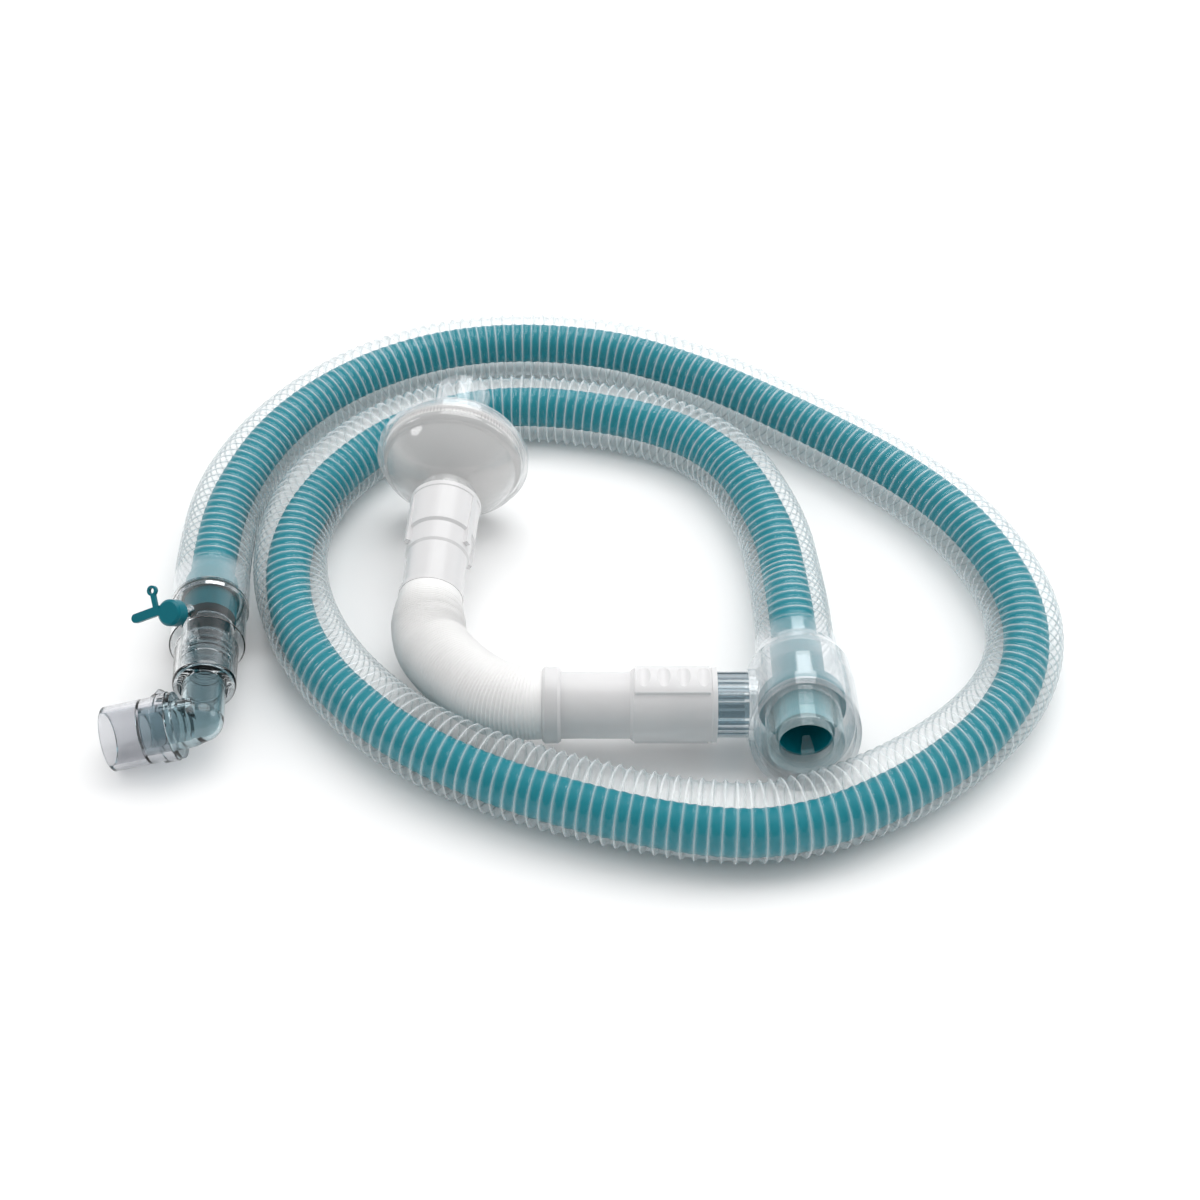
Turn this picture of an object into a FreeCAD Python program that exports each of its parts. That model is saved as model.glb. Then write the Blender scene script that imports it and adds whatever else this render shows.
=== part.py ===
# Anesthesia breathing circuit: coaxial hose with its patient end, its machine
# end manifold, a pleated limb and a filter.
# All sizes are in millimetres, +Z is up and the table is at Z = 0.
# Front of the part, nearest the camera, is -Y.
import FreeCAD
import Part
import math
import os

V = FreeCAD.Vector

# Hose
HOSE_R = 13.5
HOSE_BORE_R = 12.3
INNER_R = 8.0
INNER_BORE_R = 7.1
HOSE_END_LEAD = 13.0

# Route of both hoses, hand chosen, in the bench frame
ROUTE = [
    (-140.5, 8, 14), (-142.2, 24, 13.5), (-142, 66, 13.5), (-125, 112, 13.5),
    (-93, 149, 13.5), (-51, 168, 13.5), (-1, 166, 13.5), (38, 146, 13.5),
    (77, 113, 13.5), (115, 76, 13.5), (140, 39, 13.5), (153, -9, 13.5),
    (141, -52, 13.5), (106, -88, 13.5), (61, -111, 13.5), (21, -108, 13.5),
    (-33, -90, 13.5), (-71, -66, 13.5), (-101, -27, 13.5), (-116, 20, 13.5),
    (-111, 67, 13.5), (-82, 108, 13.5), (-40, 124, 13.5), (15, 113, 13.5),
    (49, 90, 13.5), (65, 44, 13.5), (67.5, 8, 13.5), (67.5, -14, 18.6),
    (67.5, -31, 18.6),
]
# The inner hose leans on the outside of each bend
INNER_ROUTE = [
    (-140.5, 8, 14), (-142.2, 24, 13.5), (-142, 66, 12), (-127, 113.5, 13), (-95, 151.5, 13),
    (-51.5, 171.5, 13), (-0.5, 168.5, 13), (39.5, 148, 13), (79, 115.5, 13), (117.5, 78.5, 13),
    (142.5, 40, 13), (154, -9, 12), (141.5, -52.5, 11.5), (107, -89.5, 11.5),
    (61.5, -114, 11.5), (20.5, -110.5, 11.5), (-33.5, -91, 11.5), (-71.5, -66.5, 11.5),
    (-103.5, -28.5, 12), (-117, 20, 12), (-109.5, 66.5, 12), (-81.5, 107.5, 12.5),
    (-40, 126, 13), (16, 115.5, 13), (50, 91, 12.5), (65.5, 44, 12.5), (67.5, 8, 13.5),
    (67.5, -14, 18.6), (67.5, -31, 18.6),
]
# The bench frame is moved by this much to put the part on its own origin
HOME = (40.0, -9.75, 0.0)

# Share of the shorter run that a rounded corner of a route takes
CORNER_SHARE = 0.45

# Clearances
RUN_GAP = 0.06
SWIVEL_GAP = 0.1

# Patient connector, measured along its own axis from the hose cuff
SHELL_R = 13.1
FRONT_R = 11.0
FRONT_BORE_R = 9.8
SHELL_BORE_R = 12.0
CUFF_OUT_R = 13.8
SHELL_LEN = 45.0
SHELL_STEP = 22.0
SHELL_ROUND = 2.4
SOCKET_R = 8.9
SOCKET_BORE_R = 7.5
SOCKET_START = 14.0
SHELL_WALL = 2.0

# Inner tube sleeve and the holder that centres it
SLEEVE_R = 9.4
SLEEVE_BORE_R = 7.1
SLEEVE_REACH = 10.0
HOLDER_LEN = 2.5
HOLDER_SPOKE = 2.4

# Sampling port on the connector and its cap
LUER_DIR = (-0.37, -0.68, 0.63)
LUER_FACE = (-147.5, -29.8, 32.9)
LUER_R = 3.4
LUER_BORE_R = 1.6
LUER_LIP_R = 4.0
CAP_R = 4.6
CAP_LEN = 5.2
CAP_TOP = 1.8
CAP_PIN = 4.0
TAB_LEN = 13.2
TAB_WIDE = 3.2
TAB_OFF = -2.0
TAB_THICK = 1.8
STRAP_LEN = 6.0
STRAP_TURN = -92
EYE_R = 1.8

# Elbow
ELBOW_CORNER = 61.0
ELBOW_ROLL = 10.0
ELBOW_NECK_R = 7.4
ELBOW_ARM_R = 8.3
ELBOW_BORE_R = 5.9
SPIGOT_DEEP = 22.0
ELBOW_FLANGE_R = 11.3
ELBOW_FLANGE_AT = 7.8
ELBOW_FLANGE_LEN = 1.8
JOURNAL_R = 8.2
JOURNAL_LEN = 9.0

# Patient port
PORT_TIP = 31.9
PORT_R = 11.0
PORT_BORE_R = 9.0
PORT_RING_R = 11.7
PORT_RING_LEN = 4.4
NUB_HIGH = 1.3
NUB_WIDE = 3.2
NUB_TURN = 42

# Manifold, measured along its axis from the hose collar
AXIS_Z = 18.6
COLLAR_R = 14.0
COLLAR_LEN = 7.5
COLLAR_LIP = 0.5
COLLAR_LIP_LEN = 1.4
BELL_R = 18.6
BELL_WALL = 1.7
BELL_SHOULDER = 14.0
BELL_SHOULDER_R = 17.5
BELL_FULL = 33.0
BELL_LEN = 54.0
RIM_TOP = 36.6
RIM_LOW = 51.5
FACE_DEEP = 5.0
FACE_WALL = 1.6
SIDE_AT = 29.6
SIDE_R = 10.6
SIDE_BORE_R = 8.6
SIDE_FLANGE_R = 12.2
SIDE_FLANGE_X = 51.5
SIDE_FLANGE_LEN = 2.4
SIDE_BARREL_X = 38.8
SIDE_TIP_X = 24.0
SIDE_WALL = 1.9
RIB_HIGH = 0.6
RIB_WIDE = 1.0
RIB_DEEP = 1.6
RIB_GROUPS = 5
RIBS_IN_GROUP = 4
RIB_FIRST_TURN = 32
RIB_TURN = 12.7

# Inspiratory port
IN_R = 12.8
IN_BORE_R = 9.0
IN_MOUTH_R = 9.8
IN_MOUTH = 49.6
IN_BACK = 27.0
IN_LEAD = 1.0
LINER_R = 9.7
LINER_BORE_R = 8.7
LINER_END = 43.8
FIN_WIDE = 4.4
FIN_NARROW = 2.4
FIN_LEN = 6.8
FIN_HIGH = 2.6
FIN_TURN = 10
CUP_R = 14.6
CUP_END = 31.6

# Cuff on the manifold side port
CUFF_R = 12.3
CUFF_BORE_R = 10.6
CUFF_NECK_R = 11.3
CUFF_NECK_BORE_R = 9.4
CUFF_STEP_X = 10.0
CUFF_END_X = -17.0
RING_R = 12.9
RING_LEN = 6.2
RING_LAP = 4.0
PANEL_HIGH = 1.0
PANEL_WIDE = 13.0
NOTCHES = 4
NOTCH_R = 3.4
NOTCH_STEP = 6.6
NOTCH_DEEP = 0.8

# Pleated limb
LIMB_CREST_R = 13.1
LIMB_ROOT_R = 11.6
LIMB_WALL = 0.8
LIMB_NARROW = 3
LIMB_PITCH = 4.2
LIMB_LEAD = 17.0
LIMB_TAIL = 8.5
LIMB_BENDS = [(-53.2, -39.5, 17.6), (-39.5, -54.8, 18.2)]

# Filter, measured from the rim along the axis towards the front
FILTER_AT = (-55.6, 64.9, 29.1)
FILTER_AIM = (-0.062, -0.9882, -0.139)
FILTER_R = 28.6
FILTER_RIM = 3.0
FILTER_WALL = 1.5
FILTER_DOME = 19.0
FILTER_BACK = 15.0
DOME_WALL = 2.2
DOME_ROUND = 2.6
DOME_BULGE = 2.4
FRONT_PORT_R = 10.6
FRONT_PORT_LEN = 41.0
BACK_PORT_R = 10.6
BACK_PORT_END = 36.0
PORT_WALL = 1.9
RIM_SEAM = 2.6
MEDIUM_R = FILTER_R - RIM_SEAM
MEDIUM_LEN = 3.4

# Cuff on the filter
FCUFF_FROM = 25.0
FCUFF_STEP = 53.0
FCUFF_END = 72.0
FCUFF_R = 12.9
FCUFF_NECK_R = 10.9
FCUFF_BORE_R = 10.6
FCUFF_NECK_BORE_R = 9.4
FCUFF_FIN_LONG = 2.0
FCUFF_FIN_WIDE = 2.2
FCUFF_FIN_TURNS = (60, -60, 120, -120)


def unit(v):
    w = V(v)
    w.normalize()
    return w


def turned(profile):
    """Solid of revolution about Z from (radius, station) corners.

    An entry of four numbers is an arc: a point on it, then its end.
    """
    edges = []
    here = V(profile[0][0], 0, profile[0][1])
    for entry in list(profile[1:]) + [profile[0]]:
        there = V(entry[-2], 0, entry[-1])
        if len(entry) == 4:
            edges.append(Part.Arc(here, V(entry[0], 0, entry[1]), there).toShape())
        elif (there - here).Length > 1e-6:
            edges.append(Part.LineSegment(here, there).toShape())
        here = there
    face = Part.Face(Part.Wire(edges))
    return face.revolve(V(0, 0, 0), V(0, 0, 1), 360)


def tube(r_out, r_in, z0, z1):
    return turned([(r_in, z0), (r_out, z0), (r_out, z1), (r_in, z1)])


def rod(r, z0, z1):
    return Part.makeCylinder(r, z1 - z0, V(0, 0, z0), V(0, 0, 1))


def round_to(r, z, turn_r, turn_z):
    """Arc entry from (r + turn_r, z) to (r, z + turn_z) round a corner."""
    k = math.sqrt(0.5)
    return (r + turn_r * k, z + turn_z * k, r, z + turn_z)


def place(shape, at, aim, side=V(0, 0, 1)):
    """Copy of shape with local Z turned to aim and local X near side."""
    z = unit(aim)
    x = V(side) - z * V(side).dot(z)
    x.normalize()
    y = z.cross(x)
    rot = FreeCAD.Rotation(x, y, z, "ZXY")
    out = shape.copy()
    out.Placement = FreeCAD.Placement(V(at), rot).multiply(out.Placement)
    return out


def fused(shapes):
    out = shapes[0]
    for s in shapes[1:]:
        out = out.fuse(s)
    return out.removeSplitter()


def path_wire(points):
    """Straight runs joined by tangent arcs, and the arc radii."""
    pts = [V(*p) for p in points]
    edges = []
    radii = []
    start = pts[0]
    for i in range(1, len(pts) - 1):
        a = pts[i - 1] - pts[i]
        b = pts[i + 1] - pts[i]
        turn = math.pi - a.getAngle(b)
        short = min(a.Length, b.Length)
        cut = CORNER_SHARE * short
        radii.append(cut / math.tan(turn / 2))
        p = pts[i] + unit(a) * cut
        q = pts[i] + unit(b) * cut
        mid_dir = unit(unit(a) + unit(b))
        r = radii[-1]
        m = pts[i] + mid_dir * (math.hypot(r, cut) - r)
        edges.append(Part.LineSegment(start, p).toShape())
        edges.append(Part.Arc(p, m, q).toShape())
        start = q
    edges.append(Part.LineSegment(start, pts[-1]).toShape())
    return Part.Wire(edges), radii


def hose(points, r_out, r_in):
    """Tube swept along the route."""
    wire, radii = path_wire(points)
    aim = unit(V(*points[1]) - V(*points[0]))
    at = V(*points[0])
    outer = Part.Wire([Part.Circle(at, aim, r_out).toShape()])
    inner = Part.Wire([Part.Circle(at, aim, r_in).toShape()])
    body = wire.makePipeShell([outer], True, False)
    hole = wire.makePipeShell([inner], True, False)
    return body.cut(hole), wire, radii


parts = {}

# Frames of the fittings
hose_start = V(*ROUTE[0])
patient_aim = unit(V(*ROUTE[0]) - V(*ROUTE[1]))
shell_at = hose_start + patient_aim * HOSE_END_LEAD
UP = V(0, 0, 1)


def on_shell(shape):
    return place(shape, shell_at, patient_aim)


# Hoses
outer_shape, route_wire, bend_radii = hose(ROUTE, HOSE_R, HOSE_BORE_R)
parts["outer_hose"] = outer_shape
inner_shape = hose(INNER_ROUTE, INNER_R, INNER_BORE_R)[0]
parts["inner_hose"] = inner_shape

# Smooth cuff that ends the outer hose at the patient end
cuff_back = -HOSE_END_LEAD
parts["patient_hose_cuff"] = on_shell(tube(CUFF_OUT_R, SHELL_BORE_R, cuff_back, 0))

# Patient connector: wide part over the hose cuff, front with an inner socket
shoulder_z = SHELL_LEN - SHELL_ROUND
end_wall = SHELL_LEN - SHELL_WALL
profile = [(SHELL_BORE_R, 0), (CUFF_OUT_R, 0), (CUFF_OUT_R, 2.4), (SHELL_R, 3.2),
           (SHELL_R, SHELL_STEP), (FRONT_R, SHELL_STEP + 2.4), (FRONT_R - 0.2, shoulder_z),
           round_to(FRONT_R - 0.2 - SHELL_ROUND, shoulder_z, SHELL_ROUND, SHELL_ROUND),
           (SOCKET_BORE_R, SHELL_LEN), (SOCKET_BORE_R, SOCKET_START),
           (SOCKET_R, SOCKET_START), (SOCKET_R, end_wall), (FRONT_BORE_R, end_wall),
           (FRONT_BORE_R, SHELL_STEP + 1.6), (SHELL_BORE_R, SHELL_STEP - 1.0)]
shell = turned(profile)
for z in (28.0, 31.0, 34.0):
    shell = shell.fuse(tube(SOCKET_R + 0.5, SOCKET_R - 0.5, z, z + 1.0))
shell = on_shell(shell)
luer_aim = unit(V(*LUER_DIR))
luer_face = V(*LUER_FACE)
luer_top = luer_face - luer_aim * CAP_TOP
boss = rod(LUER_R, -14.0, 0.0)
boss = boss.fuse(rod(LUER_LIP_R, -0.9, 0.0))
boss = place(boss, luer_top, luer_aim)
inside = on_shell(rod(SHELL_BORE_R, -1.0, SHELL_STEP - 1.0))
boss = boss.cut(inside)
shell = shell.fuse(boss)
shell = shell.cut(place(rod(LUER_BORE_R, -17.0, 1.0), luer_top, luer_aim))
parts["patient_connector"] = shell.removeSplitter()

# Sleeve on the patient end of the inner hose, and the ring that centres it
sleeve = tube(SLEEVE_R, SLEEVE_BORE_R, -HOSE_END_LEAD, SLEEVE_REACH)
parts["inner_hose_patient_sleeve"] = on_shell(sleeve)
holder = tube(SLEEVE_R + 0.9, SLEEVE_R, -HOLDER_LEN, 0)
rim = tube(SHELL_BORE_R, SHELL_BORE_R - 0.6, -HOLDER_LEN, 0)
holder = holder.fuse(rim)
for k in range(4):
    spoke = Part.makeBox(SHELL_BORE_R - SLEEVE_R - 0.7, HOLDER_SPOKE, HOLDER_LEN)
    spoke.translate(V(SLEEVE_R + 0.4, -HOLDER_SPOKE / 2, -HOLDER_LEN))
    spoke.rotate(V(0, 0, 0), V(0, 0, 1), 45 + 90 * k)
    holder = holder.fuse(spoke)
parts["inner_tube_holder"] = on_shell(holder.removeSplitter())

# Sampling cap with pull tab and tether in one moulding
cap = turned([(0, CAP_TOP), (CAP_R - 0.8, CAP_TOP), (CAP_R, CAP_TOP - 0.8),
              (CAP_R, CAP_TOP - CAP_LEN), (LUER_LIP_R + RUN_GAP, CAP_TOP - CAP_LEN),
              (LUER_LIP_R + RUN_GAP, 0), (LUER_BORE_R - RUN_GAP, 0),
              (LUER_BORE_R - RUN_GAP, -CAP_PIN), (0, -CAP_PIN)])
tab_low = CAP_TOP - TAB_THICK
tab_root = CAP_R - 1.4
tab = Part.makeBox(TAB_LEN - tab_root, TAB_WIDE, TAB_THICK)
tab.translate(V(tab_root, -TAB_WIDE / 2, tab_low))
tab_end = rod(TAB_WIDE / 2, tab_low, tab_low + TAB_THICK)
tab_end.translate(V(TAB_LEN, 0, 0))
tab = tab.fuse(tab_end)
tab.translate(V(0, TAB_OFF, 0))
strap = Part.makeBox(STRAP_LEN, 1.6, 1.4)
strap.translate(V(0, -0.8, tab_low + 0.2))
eye = tube(EYE_R, EYE_R - 0.8, tab_low + 0.2, tab_low + 1.6)
eye.translate(V(STRAP_LEN + EYE_R - 0.5, 0, 0))
strap = strap.fuse(eye)
strap.rotate(V(0, 0, 0), V(0, 0, 1), STRAP_TURN)
strap.translate(V(CAP_R + 0.2, TAB_OFF, 0))
cap = cap.fuse(tab).fuse(strap).removeSplitter()
TAB_SIDE = V(-1.0, -0.10, -0.30)
parts["sampling_cap"] = place(cap, luer_top, luer_aim, TAB_SIDE)

# Elbow: spigot in the socket, corner, arm with flange and journal
corner = shell_at + patient_aim * ELBOW_CORNER
arm_flat = unit(UP.cross(patient_aim)) * -1.0
rest = unit(patient_aim.cross(arm_flat))
if rest.z < 0:
    rest = rest * -1.0
roll = math.radians(ELBOW_ROLL)
arm_aim = unit(arm_flat * math.cos(roll) - rest * math.sin(roll))


def on_arm(shape):
    return place(shape, corner, arm_aim)


spigot_r = SOCKET_BORE_R - RUN_GAP
leg = turned([(0, SPIGOT_DEEP), (spigot_r, SPIGOT_DEEP), (spigot_r, SHELL_LEN + 1.0),
              (ELBOW_NECK_R, SHELL_LEN + 1.4), (ELBOW_NECK_R, ELBOW_CORNER), (0, ELBOW_CORNER)])
leg = on_shell(leg)
journal_from = ELBOW_FLANGE_AT + ELBOW_FLANGE_LEN
journal_to = journal_from + SWIVEL_GAP + JOURNAL_LEN
arm = turned([(0, 0), (ELBOW_NECK_R, 0), (ELBOW_ARM_R, 3.0), (ELBOW_ARM_R, ELBOW_FLANGE_AT),
              (ELBOW_FLANGE_R, ELBOW_FLANGE_AT), (ELBOW_FLANGE_R, journal_from),
              (JOURNAL_R, journal_from), (JOURNAL_R, journal_to), (0, journal_to)])
arm = on_arm(arm)
ball = Part.makeSphere(ELBOW_NECK_R, corner)
elbow = fused([leg, arm, ball])
elbow = elbow.cut(on_shell(rod(ELBOW_BORE_R, SPIGOT_DEEP - 1, ELBOW_CORNER)))
elbow = elbow.cut(on_arm(rod(ELBOW_BORE_R, 0, journal_to + 1)))
elbow = elbow.cut(Part.makeSphere(ELBOW_BORE_R, corner))
parts["patient_elbow"] = elbow

# Patient port, free to turn on the journal
port_from = journal_from + SWIVEL_GAP
ring_end = port_from + PORT_RING_LEN
step = journal_to + SWIVEL_GAP
port = turned([(JOURNAL_R + RUN_GAP, port_from), (PORT_RING_R, port_from),
               (PORT_RING_R, ring_end), (PORT_R, ring_end + 0.4),
               (PORT_R, PORT_TIP - 0.5), (PORT_R - 0.5, PORT_TIP),
               (PORT_BORE_R, PORT_TIP), (PORT_BORE_R, step + 0.8),
               (ELBOW_BORE_R + 1.2, step), (JOURNAL_R + RUN_GAP, step)])
nub_low = PORT_RING_R - 0.5
nub_mid = port_from + PORT_RING_LEN / 2
nub_line = [V(nub_low, 0, port_from), V(PORT_RING_R + NUB_HIGH, 0, nub_mid),
            V(nub_low, 0, ring_end), V(nub_low, 0, port_from)]
nub = Part.Face(Part.makePolygon(nub_line)).extrude(V(0, NUB_WIDE, 0))
nub.translate(V(0, -NUB_WIDE / 2, 0))
nub.rotate(V(0, 0, 0), V(0, 0, 1), NUB_TURN)
port = port.fuse(nub).removeSplitter()
parts["patient_port"] = on_arm(port)

# Manifold frame
hose_end = V(*ROUTE[-1])
BACK = V(0, -1, 0)


def on_bell(shape):
    return place(shape, hose_end, BACK)


def mouth_block(shift):
    """Everything in front of the slanted mouth plane."""
    top = V(-40, -RIM_TOP - shift, BELL_R)
    low = V(-40, -RIM_LOW - shift, -BELL_R)
    run = low - top
    run.normalize()
    a = top - run * 40
    b = low + run * 40
    front = V(0, -120, 0)
    face = Part.Face(Part.makePolygon([a, b, b + front, a + front, a]))
    block = face.extrude(V(80, 0, 0))
    block.translate(hose_end)
    return block


# Collar ring between hose and manifold
collar = tube(COLLAR_R, HOSE_BORE_R, 0, COLLAR_LEN)
lip = tube(COLLAR_R + COLLAR_LIP, COLLAR_R - COLLAR_LIP, COLLAR_LEN - COLLAR_LIP_LEN, COLLAR_LEN)
parts["machine_hose_collar"] = on_bell(collar.fuse(lip).removeSplitter())


def bell_line(inset):
    """Outline of the bell, inset by the wall for the inside."""
    return [(COLLAR_R + 0.8 - inset, COLLAR_LEN),
            (COLLAR_R + 1.4 - inset, COLLAR_LEN + 2.0),
            (BELL_SHOULDER_R - inset, BELL_SHOULDER),
            ((BELL_SHOULDER_R + BELL_R) / 2 + 0.3 - inset, 23.0),
            (BELL_R - inset, BELL_FULL), (BELL_R - inset, BELL_LEN)]


outer_line = bell_line(0)
inner_line = bell_line(BELL_WALL)
bell = on_bell(turned([(0, COLLAR_LEN)] + outer_line + [(0, BELL_LEN)]))
side_at = V(hose_end.x, hose_end.y - SIDE_AT, AXIS_Z)
LEFT = V(-1, 0, 0)


def on_side(shape):
    return place(shape, side_at, LEFT)


flange_z = hose_end.x - SIDE_FLANGE_X
barrel_z = hose_end.x - SIDE_BARREL_X
tip_z = hose_end.x - SIDE_TIP_X
side = [rod(SIDE_R, 0, barrel_z)]
side.append(tube(SIDE_FLANGE_R, SIDE_R - 1, flange_z, flange_z + SIDE_FLANGE_LEN))
side.append(turned([(SIDE_R - 1.6, flange_z), (CUFF_BORE_R, barrel_z),
                    (CUFF_BORE_R - 0.2, tip_z - 1), (CUFF_BORE_R - 0.9, tip_z),
                    (SIDE_R - SIDE_WALL, tip_z), (SIDE_R - SIDE_WALL, flange_z)]))
for group in range(RIB_GROUPS):
    for k in range(RIBS_IN_GROUP):
        rib = Part.makeBox(RIB_DEEP, RIB_WIDE, barrel_z - flange_z)
        rib.translate(V(SIDE_R + RIB_HIGH - RIB_DEEP, -RIB_WIDE / 2, flange_z))
        turn = RIB_FIRST_TURN + group * 360 / RIB_GROUPS + RIB_TURN * k
        rib.rotate(V(0, 0, 0), V(0, 0, 1), turn)
        side.append(rib)
side_arm = on_side(fused(side))
cavity = on_bell(turned([(0, COLLAR_LEN)] + inner_line + [(0, BELL_LEN)]))
chamber = cavity.cut(mouth_block(-FACE_DEEP))
hood = cavity.common(mouth_block(-FACE_DEEP + FACE_WALL))
manifold = bell.fuse(side_arm)
manifold = manifold.cut(mouth_block(0))
manifold = manifold.cut(chamber)
manifold = manifold.cut(hood)
bore = on_side(rod(SIDE_BORE_R, 0, tip_z + 1))
manifold = manifold.cut(bore.cut(mouth_block(-FACE_DEEP)))
manifold = manifold.cut(on_bell(rod(IN_R, COLLAR_LEN, BELL_LEN)))
parts["manifold_body"] = manifold.removeSplitter()

# Inspiratory port on the hose axis
inlet = turned([(LINER_R, IN_BACK), (IN_R - 1.0, IN_BACK), (IN_R, IN_BACK + 1.0),
                (IN_R, IN_MOUTH - 0.9), round_to(IN_R - 0.9, IN_MOUTH - 0.9, 0.9, 0.9),
                (IN_MOUTH_R, IN_MOUTH), (IN_BORE_R, IN_MOUTH - IN_LEAD),
                (IN_BORE_R, LINER_END), (LINER_R, LINER_END)])
fin_root = LINER_END + 1.0
fin_top = -LINER_BORE_R + FIN_HIGH
fin_line = [V(0, -FIN_WIDE / 2, fin_root), V(0, FIN_WIDE / 2, fin_root),
            V(0, FIN_NARROW / 2, fin_root - FIN_LEN), V(0, -FIN_NARROW / 2, fin_root - FIN_LEN)]
fin = Part.Face(Part.makePolygon(fin_line + fin_line[:1])).extrude(V(-FIN_HIGH - 2.0, 0, 0))
fin.translate(V(fin_top, 0, 0))
reach = rod(LINER_BORE_R, 0, LINER_END).fuse(rod(IN_BORE_R + 0.5, LINER_END, IN_MOUTH))
fin = fin.common(reach)
fin.rotate(V(0, 0, 0), V(0, 0, 1), FIN_TURN)
parts["inspiratory_port"] = on_bell(inlet.fuse(fin).removeSplitter())

# Sleeve that ties the inner hose to the inspiratory port: a cup round it and a liner in it
sleeve = turned([(INNER_BORE_R, 0), (INNER_R + 0.9, 0), (INNER_R + 0.9, IN_BACK - 3.0),
                 (CUP_R, IN_BACK), (CUP_R, CUP_END), (IN_R, CUP_END), (IN_R, IN_BACK + 1.0),
                 (IN_R - 1.0, IN_BACK), (LINER_R, IN_BACK), (LINER_R, LINER_END),
                 (LINER_BORE_R, LINER_END), (LINER_BORE_R, IN_BACK), (INNER_BORE_R, IN_BACK - 4.0)])
parts["inner_hose_machine_sleeve"] = on_bell(sleeve)

# Cuff that joins the pleated limb to the side port
step_z = hose_end.x - CUFF_STEP_X
end_z = hose_end.x - CUFF_END_X
cuff = turned([(CUFF_BORE_R, barrel_z), (CUFF_R + 0.3, barrel_z),
               (CUFF_R + 0.3, barrel_z + 1.6), (CUFF_R, barrel_z + 2.0),
               (CUFF_R, step_z - 1.0), (CUFF_NECK_R, step_z),
               (CUFF_NECK_R, end_z), (CUFF_NECK_BORE_R, end_z),
               (CUFF_NECK_BORE_R, tip_z), (CUFF_BORE_R - 0.9, tip_z),
               (CUFF_BORE_R - 0.2, tip_z - 1)])
for a0 in (0, 180):
    span = step_z - barrel_z - 4.0
    panel = Part.makeBox(CUFF_R + PANEL_HIGH, PANEL_WIDE, span)
    panel.translate(V(0, -PANEL_WIDE / 2, barrel_z + 2.5))
    for k in range(NOTCHES):
        notch = Part.makeCylinder(NOTCH_R, PANEL_WIDE + 3, V(0, -PANEL_WIDE / 2 - 1.5, 0), V(0, 1, 0))
        notch_z = barrel_z + 4.5 + k * NOTCH_STEP
        notch.translate(V(CUFF_R + PANEL_HIGH + NOTCH_R - NOTCH_DEEP, 0, notch_z))
        panel = panel.cut(notch)
    panel = panel.cut(rod(CUFF_R - 0.6, 0, end_z))
    panel = panel.common(rod(CUFF_R + PANEL_HIGH, 0, end_z))
    panel.rotate(V(0, 0, 0), V(0, 0, 1), a0)
    cuff = cuff.fuse(panel)
parts["limb_machine_cuff"] = on_side(cuff.removeSplitter())

# Ring that clamps the limb to that cuff
ring = turned([(CUFF_NECK_R, end_z - RING_LAP), (RING_R - 0.8, end_z - RING_LAP),
               (RING_R, end_z - 3.0), (RING_R, end_z + RING_LEN - RING_LAP - 1.0),
               (RING_R - 0.8, end_z + RING_LEN - RING_LAP), (CUFF_NECK_BORE_R, end_z + RING_LEN - RING_LAP),
               (CUFF_NECK_BORE_R, end_z), (CUFF_NECK_R, end_z)])
parts["limb_machine_ring"] = on_side(ring)

# Filter frame
filter_at = V(*FILTER_AT)
filter_aim = unit(V(*FILTER_AIM))


def on_filter(shape):
    return place(shape, filter_at, filter_aim)


def dome(r_rim, r_neck, z_rim, z_neck, bulge):
    """Line of a filter half: short wall, rounded shoulder, shallow crown, neck."""
    way = 1 if z_neck > z_rim else -1
    wall_z = z_rim + way * DOME_WALL
    turn = DOME_ROUND
    mid_r = (r_rim - turn + r_neck) / 2
    mid_z = (wall_z + way * turn + z_neck) / 2 + way * bulge
    return [(r_rim, z_rim), (r_rim, wall_z),
            round_to(r_rim - turn, wall_z, turn, way * turn),
            (mid_r, mid_z, r_neck, z_neck)]


# Front half of the filter housing with its port
half = FILTER_RIM / 2
shoulder = FILTER_R - 1.6
bore_f = FRONT_PORT_R - PORT_WALL
front = [(MEDIUM_R, 0), (FILTER_R, 0), (FILTER_R, half)]
front += dome(shoulder, FRONT_PORT_R, half, FILTER_DOME, DOME_BULGE)
front += [(FRONT_PORT_R - 0.2, FRONT_PORT_LEN - 0.8), (FRONT_PORT_R - 1.0, FRONT_PORT_LEN)]
front += [(bore_f, FRONT_PORT_LEN), (bore_f, FILTER_DOME - FILTER_WALL)]
inner_mid = ((MEDIUM_R - DOME_ROUND + bore_f) / 2,
             (half + DOME_WALL + FILTER_DOME) / 2 + DOME_BULGE - FILTER_WALL)
front += [inner_mid + (MEDIUM_R - DOME_ROUND, half + DOME_WALL + DOME_ROUND - FILTER_WALL)]
front += [(MEDIUM_R, half + DOME_WALL - 0.8)]
parts["filter_front_housing"] = on_filter(turned(front))

# Back half of the filter housing with its machine port
bore_b = BACK_PORT_R - PORT_WALL
back = [(MEDIUM_R, 0), (FILTER_R, 0), (FILTER_R, -half)]
back += dome(shoulder, BACK_PORT_R, -half, -FILTER_BACK, DOME_BULGE)
back += [(BACK_PORT_R, -BACK_PORT_END + 0.6), (BACK_PORT_R - 0.6, -BACK_PORT_END)]
back += [(bore_b, -BACK_PORT_END), (bore_b, -FILTER_BACK + FILTER_WALL)]
inner_mid = ((MEDIUM_R - DOME_ROUND + bore_b) / 2,
             -((half + DOME_WALL + FILTER_BACK) / 2 + DOME_BULGE - FILTER_WALL))
back += [inner_mid + (MEDIUM_R - DOME_ROUND, -(half + DOME_WALL + DOME_ROUND - FILTER_WALL))]
back += [(MEDIUM_R, -(half + DOME_WALL - 0.8))]
parts["filter_back_housing"] = on_filter(turned(back))

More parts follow.
